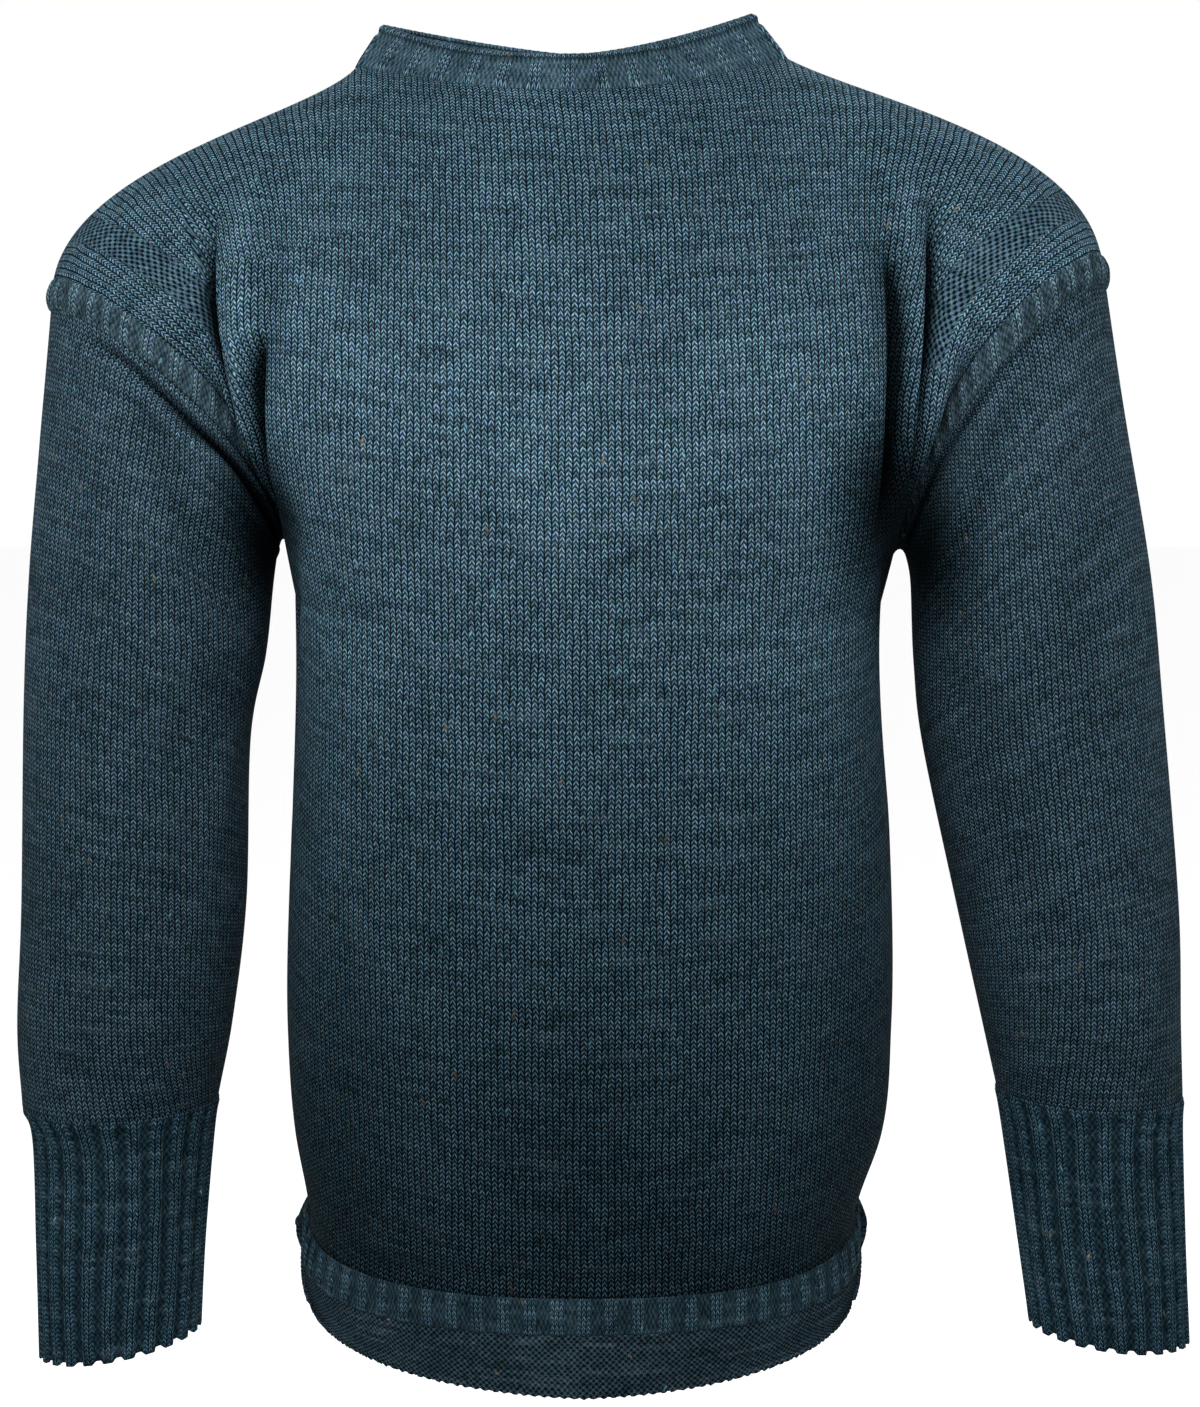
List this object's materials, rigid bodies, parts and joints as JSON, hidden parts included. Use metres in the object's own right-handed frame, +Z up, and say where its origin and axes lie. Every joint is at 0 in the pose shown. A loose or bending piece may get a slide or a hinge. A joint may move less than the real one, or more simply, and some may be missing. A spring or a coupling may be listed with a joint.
{
  "type": "guernsey fisherman sweater",
  "caption": "Long-sleeved knitted pullover in its worn shape, hollow, with a standing rib collar, dropped shoulders, underarm gussets, ribbed cuffs and a vented garter welt.",
  "frame": {"origin": "midway between the two points where the neck and the shoulders meet, where the wearer's shoulders hold it", "axes": "+Z up, -Y the front, +X the wearer's left"},
  "size_m": [0.6194, 0.2444, 0.6993],
  "materials": {
    "front_panel": "dyed worsted wool, stocking stitch with seed stitch at the armhole",
    "back_panel": "dyed worsted wool, stocking stitch with seed stitch at the armhole",
    "sleeve_head_rib_right": "dyed worsted wool, ribbed",
    "sleeve_head_rib_left": "dyed worsted wool, ribbed",
    "sleeve_right": "dyed worsted wool, stocking stitch",
    "sleeve_left": "dyed worsted wool, stocking stitch",
    "cuff_right": "dyed worsted wool, two by two rib",
    "cuff_left": "dyed worsted wool, two by two rib",
    "underarm_gusset_right": "dyed worsted wool, stocking stitch",
    "underarm_gusset_left": "dyed worsted wool, stocking stitch",
    "collar": "dyed worsted wool, ribbed, rolled cast-off edge",
    "hem_rib_front": "dyed worsted wool, ribbed",
    "hem_rib_back": "dyed worsted wool, ribbed",
    "hem_welt_front": "dyed worsted wool, garter stitch",
    "hem_welt_back": "dyed worsted wool, garter stitch"
  },
  "bodies": {
    "root": {"front_panel": "front_panel", "back_panel": "back_panel", "sleeve_head_rib_right": "sleeve_head_rib_right", "sleeve_head_rib_left": "sleeve_head_rib_left", "sleeve_right": "sleeve_right", "sleeve_left": "sleeve_left", "cuff_right": "cuff_right", "cuff_left": "cuff_left", "underarm_gusset_right": "underarm_gusset_right", "underarm_gusset_left": "underarm_gusset_left", "collar": "collar", "hem_rib_front": "hem_rib_front", "hem_rib_back": "hem_rib_back", "hem_welt_front": "hem_welt_front", "hem_welt_back": "hem_welt_back"}
  },
  "joints": []
}
